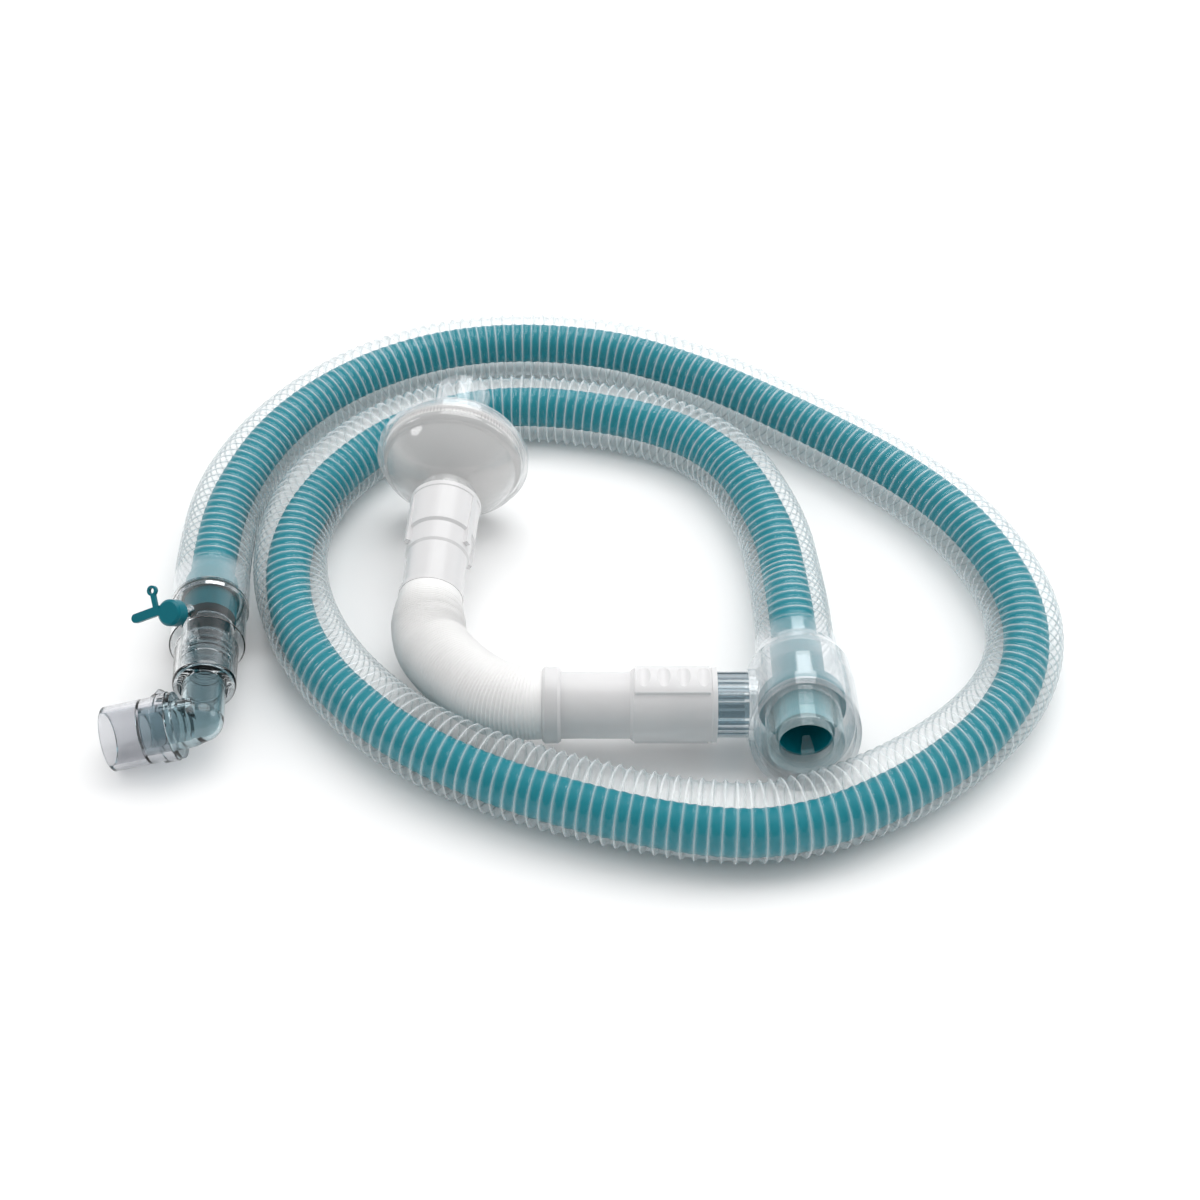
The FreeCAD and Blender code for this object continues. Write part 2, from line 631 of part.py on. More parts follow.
# Filter medium between the halves
parts["filter_medium"] = on_filter(rod(MEDIUM_R, -MEDIUM_LEN / 2, MEDIUM_LEN / 2))

# Cuff that joins the pleated limb to the filter
fcuff = turned([(FCUFF_BORE_R, FCUFF_FROM), (FCUFF_R + 0.3, FCUFF_FROM),
                (FCUFF_R + 0.3, FCUFF_FROM + 1.8), (FCUFF_R, FCUFF_FROM + 2.2),
                (FCUFF_R - 0.3, FCUFF_STEP - 10), (FCUFF_R - 1.2, FCUFF_STEP - 9),
                (FCUFF_R - 1.4, FCUFF_STEP - 1), (FCUFF_NECK_R, FCUFF_STEP),
                (FCUFF_NECK_R - 0.2, FCUFF_END - 2.0), (LIMB_ROOT_R, FCUFF_END - 2.0),
                (LIMB_ROOT_R, FCUFF_END), (FCUFF_NECK_BORE_R - 0.4, FCUFF_END),
                (FCUFF_NECK_BORE_R, FRONT_PORT_LEN), (FRONT_PORT_R - 1.0, FRONT_PORT_LEN),
                (FRONT_PORT_R - 0.2, FRONT_PORT_LEN - 0.8)])
for turn in FCUFF_FIN_TURNS:
    fin = Part.makeBox(FCUFF_FIN_LONG, FCUFF_FIN_WIDE, FCUFF_STEP - FCUFF_FROM - 5.0)
    fin.translate(V(FCUFF_R - 1.6, -FCUFF_FIN_WIDE / 2, FCUFF_FROM + 2.0))
    fin.rotate(V(0, 0, 0), V(0, 0, 1), turn)
    fcuff = fcuff.fuse(fin)
parts["limb_filter_cuff"] = on_filter(fcuff.removeSplitter())

# Pleated limb between the two cuffs
limb_from = filter_at + filter_aim * FCUFF_END
limb_to = side_at + LEFT * (end_z + RING_LEN - RING_LAP)
limb_lead = limb_from + filter_aim * LIMB_LEAD
limb_tail = limb_to + LEFT * LIMB_TAIL
LIMB = [tuple(limb_from), tuple(limb_lead)] + LIMB_BENDS + [tuple(limb_tail), tuple(limb_to)]


def bellows(points, crest, root, wall, pitch, narrow):
    """Pleated tube: rings of two radii along the path, joined by cones.

    The first folds grow from the root radius to the full crest.
    """
    wire = path_wire(points)[0]
    folds = int(round(wire.Length / pitch))
    spots = wire.discretize(Number=2 * folds + 1)
    outer = []
    inner = []
    for i, p in enumerate(spots):
        a = spots[max(i - 1, 0)]
        b = spots[min(i + 1, len(spots) - 1)]
        aim = b - a
        if i < 2:
            aim = V(*points[1]) - V(*points[0])
        if i > len(spots) - 3:
            aim = V(*points[-1]) - V(*points[-2])
        grow = min(1.0, (i / 2.0 + 1.0) / narrow)
        r = root + (crest - root) * grow if i % 2 else root
        outer.append(Part.Wire([Part.Circle(p, aim, r).toShape()]))
        inner.append(Part.Wire([Part.Circle(p, aim, r - wall).toShape()]))
    body = Part.makeLoft(outer, True, True)
    hole = Part.makeLoft(inner, True, True)
    return body.cut(hole)


limb = bellows(LIMB, LIMB_CREST_R, LIMB_ROOT_R, LIMB_WALL, LIMB_PITCH, LIMB_NARROW)
parts["expandable_limb"] = limb

os.makedirs("parts", exist_ok=True)
home = V(*HOME)
for name in sorted(parts):
    shape = parts[name].copy()
    shape.translate(home)
    shape.exportStep("parts/" + name + ".step")
    box = shape.BoundBox
    print(name, shape.isValid(), shape.ShapeType, len(shape.Solids), round(shape.Volume, 1),
          [round(v, 1) for v in (box.XMin, box.XMax, box.YMin, box.YMax, box.ZMin, box.ZMax)])
print("bend radii", [round(r) for r in bend_radii])
print("length", round(route_wire.Length, 1), "tube volume / section",
      round(parts["outer_hose"].Volume / (math.pi * (HOSE_R ** 2 - HOSE_BORE_R ** 2)), 1))
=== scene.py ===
import math

import bpy
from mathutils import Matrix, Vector


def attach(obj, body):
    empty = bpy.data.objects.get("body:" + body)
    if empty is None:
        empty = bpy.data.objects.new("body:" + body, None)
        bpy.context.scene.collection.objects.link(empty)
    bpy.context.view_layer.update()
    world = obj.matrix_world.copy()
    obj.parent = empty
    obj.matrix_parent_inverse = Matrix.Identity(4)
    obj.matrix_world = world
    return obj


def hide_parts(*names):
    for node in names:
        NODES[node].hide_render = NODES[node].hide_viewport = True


bl_info = {
    "name": "Breathing Circuit",
    "version": (1, 0),
    "blender": (4, 5, 0),
    "location": "View3D > Sidebar > Circuit",
    "description": "Dresses the packed breathing circuit for its photograph",
    "category": "Object",
}

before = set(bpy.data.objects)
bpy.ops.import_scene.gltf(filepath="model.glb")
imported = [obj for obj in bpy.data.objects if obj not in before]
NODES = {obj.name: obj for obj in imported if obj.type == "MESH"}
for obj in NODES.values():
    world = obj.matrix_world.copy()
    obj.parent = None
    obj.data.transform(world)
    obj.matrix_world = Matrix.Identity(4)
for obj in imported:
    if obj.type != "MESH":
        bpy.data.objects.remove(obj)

# The routes are laid out round a point of the table that lies here in the part's frame
HOME = Vector((0.04, -0.00975, 0.0))
# Points of the outer hose's axis, from the patient end to the manifold
ROUTE = [
    (-0.1405, 0.008, 0.014), (-0.1422, 0.024, 0.0135), (-0.142, 0.066, 0.0135),
    (-0.125, 0.112, 0.0135), (-0.093, 0.149, 0.0135), (-0.051, 0.168, 0.0135),
    (-0.001, 0.166, 0.0135), (0.038, 0.146, 0.0135), (0.077, 0.113, 0.0135),
    (0.115, 0.076, 0.0135), (0.140, 0.039, 0.0135), (0.153, -0.009, 0.0135),
    (0.141, -0.052, 0.0135), (0.106, -0.088, 0.0135), (0.061, -0.111, 0.0135),
    (0.021, -0.108, 0.0135), (-0.033, -0.090, 0.0135), (-0.071, -0.066, 0.0135),
    (-0.101, -0.027, 0.0135), (-0.116, 0.020, 0.0135), (-0.111, 0.067, 0.0135),
    (-0.082, 0.108, 0.0135), (-0.040, 0.124, 0.0135), (0.015, 0.113, 0.0135),
    (0.049, 0.090, 0.0135), (0.065, 0.044, 0.0135), (0.0675, 0.008, 0.0135),
    (0.0675, -0.014, 0.0186), (0.0675, -0.031, 0.0186),
]
# The inner hose leans on the outside of each bend
INNER_ROUTE = [
    (-0.1405, 0.008, 0.014), (-0.1422, 0.024, 0.0135), (-0.142, 0.066, 0.012),
    (-0.127, 0.1135, 0.013), (-0.095, 0.1515, 0.013), (-0.0515, 0.1715, 0.013),
    (-0.0005, 0.1685, 0.013), (0.0395, 0.148, 0.013), (0.079, 0.1155, 0.013),
    (0.1175, 0.0785, 0.013), (0.1425, 0.040, 0.013), (0.154, -0.009, 0.012),
    (0.1415, -0.0525, 0.0115), (0.107, -0.0895, 0.0115), (0.0615, -0.114, 0.0115),
    (0.0205, -0.1105, 0.0115), (-0.0335, -0.091, 0.0115), (-0.0715, -0.0665, 0.0115),
    (-0.1035, -0.0285, 0.012), (-0.117, 0.020, 0.012), (-0.1095, 0.0665, 0.012),
    (-0.0815, 0.1075, 0.0125), (-0.040, 0.126, 0.013), (0.016, 0.1155, 0.013),
    (0.050, 0.091, 0.0125), (0.0655, 0.044, 0.0125), (0.0675, 0.008, 0.0135),
    (0.0675, -0.014, 0.0186), (0.0675, -0.031, 0.0186),
]
# Points of the pleated limb's axis, from the filter to the manifold
LIMB = [
    (-0.060065, -0.006261, 0.01909), (-0.061119, -0.023063, 0.016727),
    (-0.0532, -0.0395, 0.0176), (-0.0395, -0.0548, 0.0182),
    (-0.0277, -0.0606, 0.0186), (-0.0192, -0.0606, 0.0186),
]
LINE_STEPS = 16

# Colours and limits of the materials
# Painted shade: the film's see-through colour darkens towards this at slant, partly for the
# longer path through the plastic, partly for the dark edges that bent light gives
EDGE_DIM = (0.40, 0.46, 0.48)
# Painted shade for the dark room seen through the side port's ribbed wall
BARREL_PAINTED_DARK = (0.22, 0.33, 0.38)
BARREL_WALL = 0.0002
CLEAR_WHITE = (0.95, 0.98, 1.0)

# Lamps: name, place, width, watts
LAMPS = (
    ("Top", (0.20, 0.50, 1.10), 1.2, 10.0),
    ("Right", (1.0, 0.20, 0.60), 0.6, 3.0),
    ("Left", (-1.0, 0.0, 0.70), 0.4, 2.0),
)
FLOOR_HALF = 6
SKY_LIGHT = (0.68, 0.68, 0.68)
ROOM_GREY = (0.20, 0.25, 0.27)
ROOM_WHITE = (0.95, 0.97, 1.0)

class CircuitSettings(bpy.types.PropertyGroup):
    rib_pitch: bpy.props.FloatProperty(name="Rib pitch", default=0.004)
    hose_crest: bpy.props.FloatProperty(name="Hose crest radius", default=0.0135)
    hose_root: bpy.props.FloatProperty(name="Hose root radius", default=0.0123)
    inner_crest: bpy.props.FloatProperty(name="Inner hose radius", default=0.008)
    inner_root: bpy.props.FloatProperty(name="Inner hose root", default=0.0077)
    fold_pitch: bpy.props.FloatProperty(name="Fold pitch", default=0.00105)
    limb_crest: bpy.props.FloatProperty(name="Limb crest radius", default=0.0131)
    limb_root: bpy.props.FloatProperty(name="Limb root radius", default=0.0122)
    limb_neck: bpy.props.FloatProperty(name="Limb neck radius", default=0.0114)
    barrel_from: bpy.props.FloatProperty(name="Side barrel from X", default=0.0788)
    barrel_to: bpy.props.FloatProperty(name="Side barrel to X", default=0.0891)
    barrel_y: bpy.props.FloatProperty(name="Side barrel axis Y", default=-0.07035)
    barrel_z: bpy.props.FloatProperty(name="Side barrel axis Z", default=0.0186)
    barrel_radius: bpy.props.FloatProperty(name="Side barrel radius", default=0.0106)


def settings():
    return bpy.context.scene.circuit


# Geometry Nodes

def node(tree, kind, **values):
    n = tree.nodes.new(kind)
    for key, value in values.items():
        setattr(n, key, value)
    return n


def math_node(tree, op, a, b=None, c=None):
    n = node(tree, "ShaderNodeMath", operation=op)
    for i, value in enumerate((a, b, c)):
        if value is None:
            continue
        if isinstance(value, (int, float)):
            n.inputs[i].default_value = value
        else:
            tree.links.new(value, n.inputs[i])
    return n.outputs[0]


def blend(tree, factor, a, b):
    """Colour between a and b; each may be a socket or three numbers."""
    n = node(tree, "ShaderNodeMix", data_type="RGBA")
    tree.links.new(factor, n.inputs[0])
    for socket, value in ((n.inputs[6], a), (n.inputs[7], b)):
        if isinstance(value, tuple):
            socket.default_value = (*value, 1.0)
        else:
            tree.links.new(value, socket)
    return n.outputs[2]


def ribbed_tube_group():
    """Curve in, ribbed tube out: the radius swings between root and crest."""
    g = bpy.data.node_groups.new("Ribbed Tube", "GeometryNodeTree")
    face = g.interface
    face.new_socket("Geometry", in_out="INPUT", socket_type="NodeSocketGeometry")
    for name in ("Pitch", "Crest", "Root", "Power", "Neck", "Ramp"):
        face.new_socket(name, in_out="INPUT", socket_type="NodeSocketFloat")
    for name in ("Steps", "Sides"):
        face.new_socket(name, in_out="INPUT", socket_type="NodeSocketInt")
    face.new_socket("Material", in_out="INPUT", socket_type="NodeSocketMaterial")
    face.new_socket("Geometry", in_out="OUTPUT", socket_type="NodeSocketGeometry")
    ins = node(g, "NodeGroupInput")
    out = node(g, "NodeGroupOutput")
    link = g.links.new

    step = math_node(g, "DIVIDE", ins.outputs["Pitch"], ins.outputs["Steps"])
    resample = node(g, "GeometryNodeResampleCurve", mode="LENGTH")
    link(ins.outputs["Geometry"], resample.inputs["Curve"])
    link(step, resample.inputs["Length"])

    param = node(g, "GeometryNodeSplineParameter")
    turns = math_node(g, "DIVIDE", param.outputs["Length"], ins.outputs["Pitch"])
    angle = math_node(g, "MULTIPLY", turns, 2 * math.pi)
    wave = math_node(g, "COSINE", angle)
    half = math_node(g, "MULTIPLY_ADD", wave, -0.5, 0.5)
    shape = math_node(g, "POWER", half, ins.outputs["Power"])
    whole = node(g, "GeometryNodeCurveLength")
    link(ins.outputs["Geometry"], whole.inputs["Curve"])
    left = math_node(g, "SUBTRACT", whole.outputs["Length"], param.outputs["Length"])
    near = math_node(g, "MINIMUM", param.outputs["Length"], left)
    grow = math_node(g, "DIVIDE", near, ins.outputs["Ramp"])
    grow = math_node(g, "MINIMUM", grow, 1.0)
    rib = math_node(g, "MULTIPLY", shape, grow)
    store = node(g, "GeometryNodeStoreNamedAttribute", data_type="FLOAT", domain="POINT")
    store.inputs["Name"].default_value = "rib"
    link(resample.outputs["Curve"], store.inputs["Geometry"])
    link(rib, store.inputs["Value"])

    swing = math_node(g, "SUBTRACT", ins.outputs["Crest"], ins.outputs["Root"])
    widen = math_node(g, "SUBTRACT", ins.outputs["Root"], ins.outputs["Neck"])
    base = math_node(g, "MULTIPLY_ADD", grow, widen, ins.outputs["Neck"])
    radius = math_node(g, "MULTIPLY_ADD", rib, swing, base)
    set_radius = node(g, "GeometryNodeSetCurveRadius")
    link(store.outputs["Geometry"], set_radius.inputs["Curve"])
    link(radius, set_radius.inputs["Radius"])

    circle = node(g, "GeometryNodeCurvePrimitiveCircle")
    circle.inputs["Radius"].default_value = 1.0
    link(ins.outputs["Sides"], circle.inputs["Resolution"])
    sweep = node(g, "GeometryNodeCurveToMesh")
    link(set_radius.outputs["Curve"], sweep.inputs["Curve"])
    link(circle.outputs["Curve"], sweep.inputs["Profile Curve"])
    if "Scale" in sweep.inputs:
        field = node(g, "GeometryNodeInputRadius")
        link(field.outputs[0], sweep.inputs["Scale"])

    smooth = node(g, "GeometryNodeSetShadeSmooth")
    link(sweep.outputs["Mesh"], smooth.inputs["Geometry"])
    real = node(g, "GeometryNodeRealizeInstances")
    link(smooth.outputs["Geometry"], real.inputs["Geometry"])
    paint = node(g, "GeometryNodeSetMaterial")
    link(real.outputs["Geometry"], paint.inputs["Geometry"])
    link(ins.outputs["Material"], paint.inputs["Material"])
    link(paint.outputs["Geometry"], out.inputs["Geometry"])
    return g


def line_object(name, points):
    """NURBS curve whose control points are the given points of the route."""
    curve = bpy.data.curves.new(name, "CURVE")
    curve.dimensions = "3D"
    spline = curve.splines.new("NURBS")
    spline.points.add(len(points) - 1)
    for point, place in zip(spline.points, points):
        point.co = (*(Vector(place) + HOME), 1.0)
    spline.order_u = 3
    spline.use_endpoint_u = True
    spline.resolution_u = LINE_STEPS
    obj = bpy.data.objects.new(name, curve)
    bpy.context.scene.collection.objects.link(obj)
    return obj


def line_points(obj):
    """Points of the evaluated spline, in metres."""
    graph = bpy.context.evaluated_depsgraph_get()
    mesh = bpy.data.meshes.new_from_object(obj.evaluated_get(graph))
    return [v.co.copy() for v in mesh.vertices]


def baked_tube(name, line, group, values):
    """Mesh piece made by the group from the line object."""
    mod = line.modifiers.new("tube", "NODES")
    mod.node_group = group
    for item in group.interface.items_tree:
        if item.in_out == "INPUT" and item.name in values:
            mod[item.identifier] = values[item.name]
    line.update_tag()
    graph = bpy.context.evaluated_depsgraph_get()
    mesh = bpy.data.meshes.new_from_object(line.evaluated_get(graph))
    line.modifiers.remove(mod)
    mesh.name = name
    obj = bpy.data.objects.new(name, mesh)
    bpy.context.scene.collection.objects.link(obj)
    return obj


# Materials

def new_material(name):
    mat = bpy.data.materials.new(name)
    mat.use_nodes = True
    tree = mat.node_tree
    tree.nodes.clear()
    out = node(tree, "ShaderNodeOutputMaterial")
    return mat, tree, out


def plain_plastic(name, colour, rough, shine=0.3):
    mat, tree, out = new_material(name)
    shader = node(tree, "ShaderNodeBsdfPrincipled")
    shader.inputs["Base Color"].default_value = (*colour, 1.0)
    shader.inputs["Roughness"].default_value = rough
    shader.inputs["Specular IOR Level"].default_value = shine
    tree.links.new(shader.outputs[0], out.inputs["Surface"])
    return mat


def film_group():
    """Share of a film that isn't seen through, and how much of it is glare. The share also
    holds painted sheen towards the slant edges and painted highlight lines on the rib
    crests.
    """
    g = bpy.data.node_groups.new("Film", "ShaderNodeTree")
    for name in ("Facing", "Line", "Glare", "Milk", "Edge", "Crest", "Crest Power"):
        g.interface.new_socket(name, in_out="INPUT", socket_type="NodeSocketFloat")
    for name in ("Share", "Mirror", "Dim"):
        g.interface.new_socket(name, in_out="OUTPUT", socket_type="NodeSocketFloat")
    ins = node(g, "NodeGroupInput")
    out = node(g, "NodeGroupOutput")
    slant = math_node(g, "POWER", ins.outputs["Facing"], 5.0)
    rest = math_node(g, "SUBTRACT", 1.0, ins.outputs["Glare"])
    glare = math_node(g, "MULTIPLY_ADD", rest, slant, ins.outputs["Glare"])
    # Whiter towards the slant edges: partly haze over the longer path, partly painted sheen
    # for the white floor that the wall reflects
    bend = math_node(g, "POWER", ins.outputs["Facing"], 3.0)
    milk = math_node(g, "MULTIPLY_ADD", bend, ins.outputs["Edge"], ins.outputs["Milk"])
    # Painted highlight: white lines on the rib crests, painted into the film's share
    painted_crest_highlight = math_node(g, "POWER", ins.outputs["Line"], ins.outputs["Crest Power"])
    milk = math_node(g, "MULTIPLY_ADD", painted_crest_highlight, ins.outputs["Crest"], milk)
    milk = math_node(g, "MINIMUM", milk, 1.0)
    room = math_node(g, "SUBTRACT", 1.0, glare)
    share = math_node(g, "MULTIPLY_ADD", room, milk, glare)
    g.links.new(share, out.inputs["Share"])
    g.links.new(math_node(g, "DIVIDE", glare, share), out.inputs["Mirror"])
    g.links.new(slant, out.inputs["Dim"])
    return g


def film_plastic(name, white, rough, milk, edge, crest=0.0, crest_power=1.0, glare=0.06):
    """Thin clear film: it mirrors by its angle, is a little milky, and carries painted
    highlight lines on its crests.
    """
    mat, tree, out = new_material(name)
    link = tree.links.new
    film = node(tree, "ShaderNodeGroup", node_tree=bpy.data.node_groups["Film"])
    for key, value in (("Glare", glare), ("Milk", milk), ("Edge", edge),
                       ("Crest", crest), ("Crest Power", crest_power)):
        film.inputs[key].default_value = value
    weight = node(tree, "ShaderNodeLayerWeight")
    weight.inputs["Blend"].default_value = 0.5
    link(weight.outputs["Facing"], film.inputs["Facing"])
    rib = node(tree, "ShaderNodeAttribute", attribute_name="rib")
    link(rib.outputs["Fac"], film.inputs["Line"])
    skin = node(tree, "ShaderNodeBsdfPrincipled")
    skin.inputs["Base Color"].default_value = (*white, 1.0)
    skin.inputs["Roughness"].default_value = rough
    link(film.outputs["Mirror"], skin.inputs["Metallic"])
    through = node(tree, "ShaderNodeBsdfTransparent")
    # Painted shade at slant edges, partly the real longer path through the plastic
    dim = blend(tree, film.outputs["Dim"], (1.0, 1.0, 1.0), EDGE_DIM)
    link(dim, through.inputs["Color"])
    mix = node(tree, "ShaderNodeMixShader")
    link(film.outputs["Share"], mix.inputs[0])
    link(through.outputs[0], mix.inputs[1])
    link(skin.outputs[0], mix.inputs[2])
    link(mix.outputs[0], out.inputs["Surface"])
    return mat


def frosted_plastic(name, colour, share, rough):
    """Milky plastic that lets a little of what is behind it through."""
    mat, tree, out = new_material(name)
    link = tree.links.new
    skin = node(tree, "ShaderNodeBsdfPrincipled")
    skin.inputs["Base Color"].default_value = (*colour, 1.0)
    skin.inputs["Roughness"].default_value = rough
    through = node(tree, "ShaderNodeBsdfTransparent")
    weight = node(tree, "ShaderNodeLayerWeight")
    weight.inputs["Blend"].default_value = 0.4
    part = math_node(tree, "MULTIPLY_ADD", weight.outputs["Facing"], 1.0 - share, share)
    mix = node(tree, "ShaderNodeMixShader")
    link(part, mix.inputs[0])
    link(through.outputs[0], mix.inputs[1])
    link(skin.outputs[0], mix.inputs[2])
    link(mix.outputs[0], out.inputs["Surface"])
    return mat


def glass_plastic(name, tint, shade, rough=0.03):
    """Clear moulded plastic that bends light; lamps shine through it."""
    mat, tree, out = new_material(name)
    link = tree.links.new
    skin = node(tree, "ShaderNodeBsdfPrincipled")
    skin.inputs["Base Color"].default_value = (*tint, 1.0)
    skin.inputs["Roughness"].default_value = rough
    skin.inputs["IOR"].default_value = 1.45
    skin.inputs["Transmission Weight"].default_value = 1.0
    through = node(tree, "ShaderNodeBsdfTransparent")
    through.inputs["Color"].default_value = (*shade, 1.0)
    path = node(tree, "ShaderNodeLightPath")
    mix = node(tree, "ShaderNodeMixShader")
    link(path.outputs["Is Shadow Ray"], mix.inputs[0])
    link(skin.outputs[0], mix.inputs[1])
    link(through.outputs[0], mix.inputs[2])
    link(mix.outputs[0], out.inputs["Surface"])
    return mat


def painted_barrel_shade(mat, x_from, x_to, axis_y, axis_z, radius):
    """Painted shade: darkens the clear wall between the ribs of the side port, standing in
    for the dark room seen through the ribbed wall.
    """
    tree = mat.node_tree
    where = node(tree, "ShaderNodeTexCoord")
    axes = node(tree, "ShaderNodeSeparateXYZ")
    tree.links.new(where.outputs["Object"], axes.inputs[0])
    y = math_node(tree, "SUBTRACT", axes.outputs["Y"], axis_y)
    z = math_node(tree, "SUBTRACT", axes.outputs["Z"], axis_z)
    square = math_node(tree, "MULTIPLY_ADD", z, z, math_node(tree, "MULTIPLY", y, y))
    off = math_node(tree, "SUBTRACT", math_node(tree, "SQRT", square), radius)
    wall = math_node(tree, "LESS_THAN", math_node(tree, "ABSOLUTE", off), BARREL_WALL)
    after = math_node(tree, "GREATER_THAN", axes.outputs["X"], x_from)
    before = math_node(tree, "LESS_THAN", axes.outputs["X"], x_to)
    mask = math_node(tree, "MULTIPLY", wall, math_node(tree, "MULTIPLY", after, before))
    through = next(n for n in tree.nodes if n.type == "BSDF_TRANSPARENT")
    clear = through.inputs["Color"].links[0].from_socket
    tree.links.new(blend(tree, mask, clear, BARREL_PAINTED_DARK), through.inputs["Color"])


class CIRCUIT_OT_materials(bpy.types.Operator):
    """Makes the plastics and gives them to the CAD pieces"""
    bl_idname = "circuit.materials"
    bl_label = "Materials"

    def execute(self, context):
        film_group()
        # The hose's white crest lines are painted highlights
        film_plastic("HoseFilm", (0.93, 0.98, 1.0), 0.15, milk=0.01, edge=0.5,
                     crest=0.36, crest_power=3.0, glare=0.03)
        connector = glass_plastic("ConnectorClear", (0.93, 0.945, 0.95), (0.97, 0.98, 0.985))
        elbow = glass_plastic("ElbowClear", (0.54, 0.66, 0.69), (0.95, 0.97, 0.98))
        port = glass_plastic("PortClear", (0.76, 0.765, 0.79), (0.96, 0.965, 0.975))
        clear = film_plastic("MachineClear", CLEAR_WHITE, 0.08, milk=0.05, edge=0.6)
        manifold = film_plastic("ManifoldClear", CLEAR_WHITE, 0.08, milk=0.08, edge=0.7,
                                glare=0.10)
        side = settings()
        # Painted shade on the side port's wall between its ribs
        painted_barrel_shade(manifold, side.barrel_from, side.barrel_to, side.barrel_y,
                     side.barrel_z, side.barrel_radius)
        inlet = film_plastic("InletPlastic", (0.75, 0.92, 0.95), 0.08, milk=0.16, edge=0.7)
        teal = plain_plastic("Teal", (0.0, 0.20, 0.25), 0.45, shine=0.15)
        cap = plain_plastic("CapTeal", (0.0, 0.14, 0.18), 0.3)
        ring = plain_plastic("HolderWhite", (0.86, 0.85, 0.82), 0.3)
        frosted = frosted_plastic("Frosted", (0.79, 0.785, 0.79), 0.58, 0.25)
        plain_plastic("LimbWhite", (0.79, 0.785, 0.78), 0.4)
        front = film_plastic("FilterFront", (0.9, 0.9, 0.9), 0.12, milk=0.20, edge=0.5)
        rear = film_plastic("FilterBack", (0.93, 0.96, 0.98), 0.08, milk=0.05, edge=0.6)
        medium = plain_plastic("Medium", (0.76, 0.745, 0.735), 0.8)
        looks = {
            "patient_hose_cuff": clear, "patient_connector": connector,
            "inner_hose_patient_sleeve": teal, "inner_tube_holder": ring,
            "sampling_cap": cap, "patient_elbow": elbow, "patient_port": port,
            "machine_hose_collar": clear, "manifold_body": manifold,
            "inspiratory_port": inlet, "inner_hose_machine_sleeve": teal,
            "limb_machine_cuff": frosted, "limb_machine_ring": frosted,
            "limb_filter_cuff": frosted,
            "filter_front_housing": front, "filter_back_housing": rear,
            "filter_medium": medium,
        }
        for name, mat in looks.items():
            mesh = NODES[name].data
            mesh.materials.clear()
            mesh.materials.append(mat)
        return {"FINISHED"}


class CIRCUIT_OT_hoses(bpy.types.Operator):
    """Ribbed outer hose and teal inner hose along the route"""
    bl_idname = "circuit.hoses"
    bl_label = "Hoses"

    def execute(self, context):
        s = settings()
        group = ribbed_tube_group()
        for name, route, cad, slot, material, crest, root, power, steps, sides in (
                ("OuterHose", ROUTE, "outer_hose", "hose_clear", "HoseFilm",
                 s.hose_crest, s.hose_root, 3.0, 8, 40),
                ("InnerHose", INNER_ROUTE, "inner_hose", "teal", "Teal",
                 s.inner_crest, s.inner_root, 1.0, 4, 36)):
            line = line_object(name + "Line", route)
            points = line_points(line)
            tube = baked_tube(name, line, group, {
                "Pitch": s.rib_pitch, "Crest": crest, "Root": root, "Power": power,
                "Neck": root, "Ramp": s.rib_pitch, "Steps": steps, "Sides": sides,
                "Material": bpy.data.materials[material]})
            bpy.data.objects.remove(line)
            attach(tube, "circuit")
            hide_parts(cad)
        return {"FINISHED"}


class CIRCUIT_OT_limb(bpy.types.Operator):
    """Finely pleated limb between the two white cuffs"""
    bl_idname = "circuit.limb"
    bl_label = "Pleated limb"

    def execute(self, context):
        line = line_object("LimbLine", LIMB)
        s = settings()
        limb = baked_tube("PleatedLimb", line, bpy.data.node_groups["Ribbed Tube"], {
            "Pitch": s.fold_pitch, "Crest": s.limb_crest, "Root": s.limb_root,
            "Power": 1.0, "Neck": s.limb_neck, "Ramp": 0.012, "Steps": 4, "Sides": 56,
            "Material": bpy.data.materials["LimbWhite"]})
        bpy.data.objects.remove(line)
        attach(limb, "circuit")
        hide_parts("expandable_limb")
        return {"FINISHED"}


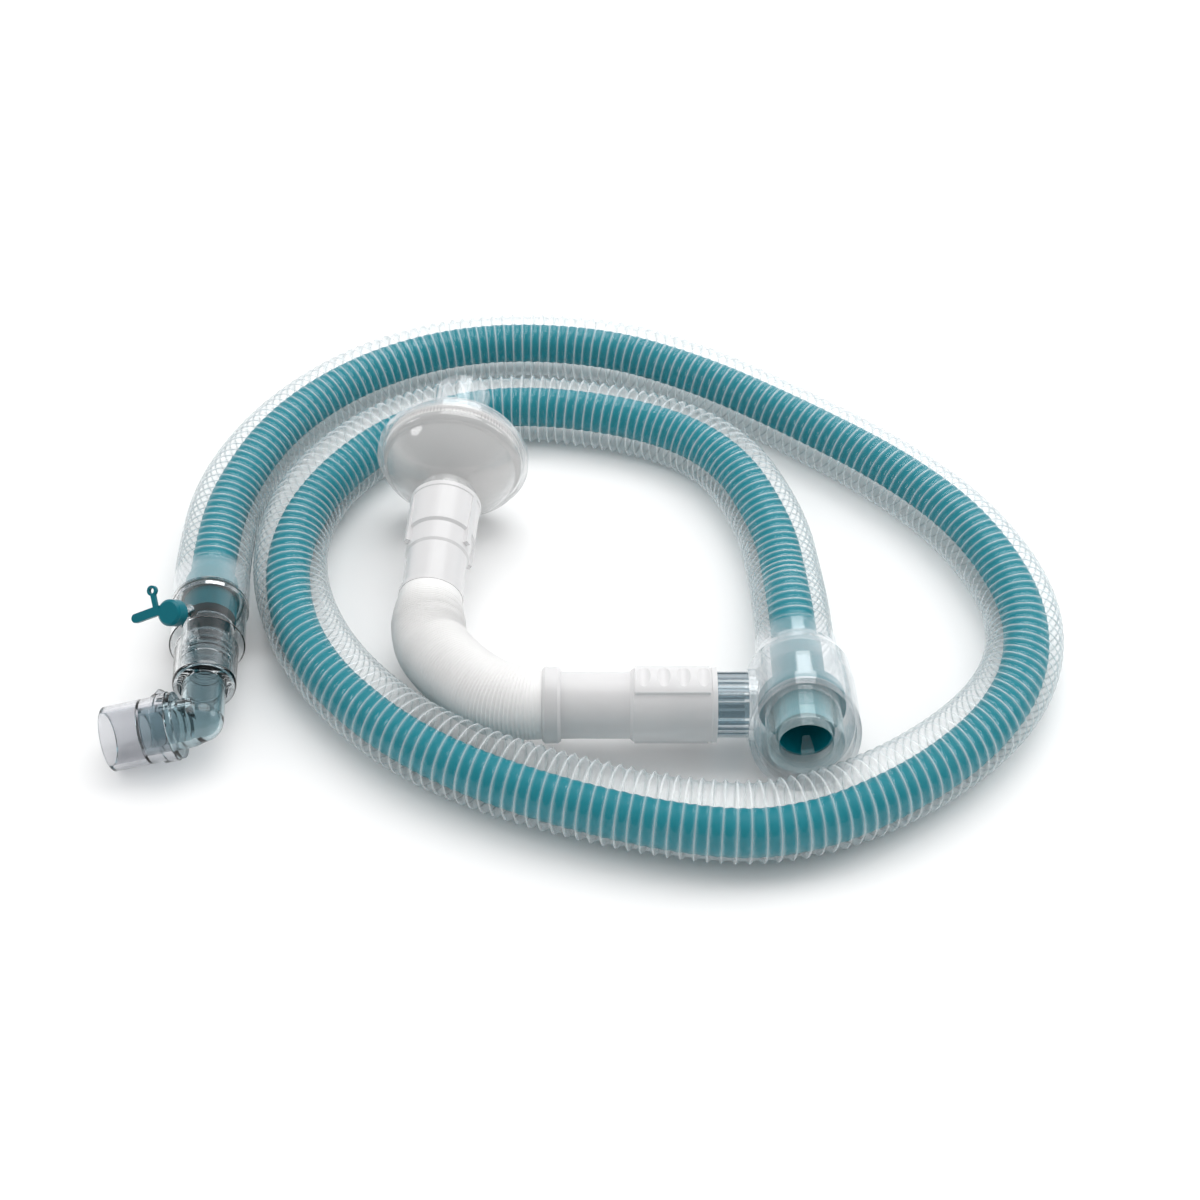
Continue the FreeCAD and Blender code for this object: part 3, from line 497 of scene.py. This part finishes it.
class CIRCUIT_OT_studio(bpy.types.Operator):
    """White table, soft lamps and the camera of the photograph"""
    bl_idname = "circuit.studio"
    bl_label = "Studio"

    def execute(self, context):
        scene = context.scene
        cam = bpy.data.cameras.new("Camera")
        cam.lens = 60
        cam.sensor_width = 36
        camera = bpy.data.objects.new("Camera", cam)
        camera.location = Vector((0, -0.55009, 0.47508)) + HOME
        camera.rotation_euler = (math.radians(50), 0, 0)
        scene.collection.objects.link(camera)
        scene.camera = camera

        mesh = bpy.data.meshes.new("Floor")
        side = FLOOR_HALF
        corners = [(-side, -side, 0), (side, -side, 0), (side, side, 0), (-side, side, 0)]
        mesh.from_pydata(corners, [], [(0, 1, 2, 3)])
        floor = bpy.data.objects.new("Floor", mesh)
        scene.collection.objects.link(floor)
        mesh.materials.append(plain_plastic("FloorWhite", (0.9, 0.9, 0.9), 0.6))

        world = bpy.data.worlds.new("World")
        scene.world = world
        world.use_nodes = True
        self.sky(world.node_tree)

        for name, place, size, power in LAMPS:
            lamp = bpy.data.lights.new(name, "AREA")
            lamp.shape = "DISK"
            lamp.size = size
            lamp.energy = power
            light = bpy.data.objects.new(name, lamp)
            light.location = Vector(place)
            aim = Vector((0, 0, 0)) - light.location
            light.rotation_euler = aim.to_track_quat("-Z", "Y").to_euler()
            scene.collection.objects.link(light)

        scene.view_settings.view_transform = "Standard"
        scene.cycles.transparent_max_bounces = 24
        scene.cycles.max_bounces = 14
        scene.cycles.transmission_bounces = 14
        scene.cycles.caustics_reflective = False
        scene.cycles.caustics_refractive = False
        return {"FINISHED"}

    def sky(self, tree):
        """White light; clear parts mirror a grey room with a white back wall."""
        tree.nodes.clear()
        link = tree.links.new
        out = node(tree, "ShaderNodeOutputWorld")
        back = node(tree, "ShaderNodeBackground")
        link(back.outputs[0], out.inputs["Surface"])
        back.inputs["Strength"].default_value = 1.0
        where = node(tree, "ShaderNodeTexCoord")
        axes = node(tree, "ShaderNodeSeparateXYZ")
        link(where.outputs["Generated"], axes.inputs[0])
        height = math_node(tree, "MULTIPLY_ADD", axes.outputs["Y"], -0.8, axes.outputs["Z"])
        ramp = node(tree, "ShaderNodeMapRange")
        ramp.inputs["From Min"].default_value = 0.15
        ramp.inputs["From Max"].default_value = -0.35
        link(height, ramp.inputs["Value"])
        room = blend(tree, ramp.outputs["Result"], ROOM_GREY, ROOM_WHITE)
        path = node(tree, "ShaderNodeLightPath")
        mirror = math_node(tree, "MAXIMUM", path.outputs["Is Glossy Ray"],
                           path.outputs["Is Transmission Ray"])
        link(blend(tree, mirror, SKY_LIGHT, room), back.inputs["Color"])


class CIRCUIT_PT_panel(bpy.types.Panel):
    bl_label = "Breathing Circuit"
    bl_idname = "CIRCUIT_PT_panel"
    bl_space_type = "VIEW_3D"
    bl_region_type = "UI"
    bl_category = "Circuit"

    def draw(self, context):
        for kind in OPERATORS:
            self.layout.operator(kind.bl_idname)
        for name in CircuitSettings.__annotations__:
            self.layout.prop(context.scene.circuit, name)


OPERATORS = (CIRCUIT_OT_studio, CIRCUIT_OT_materials, CIRCUIT_OT_hoses, CIRCUIT_OT_limb)
CLASSES = (CircuitSettings, *OPERATORS, CIRCUIT_PT_panel)


def register():
    for kind in CLASSES:
        bpy.utils.register_class(kind)
    bpy.types.Scene.circuit = bpy.props.PointerProperty(type=CircuitSettings)


def unregister():
    del bpy.types.Scene.circuit
    for kind in reversed(CLASSES):
        bpy.utils.unregister_class(kind)


def main():
    register()
    bpy.ops.circuit.studio()
    bpy.ops.circuit.materials()
    bpy.ops.circuit.hoses()
    bpy.ops.circuit.limb()


if __name__ == "__main__":
    main()
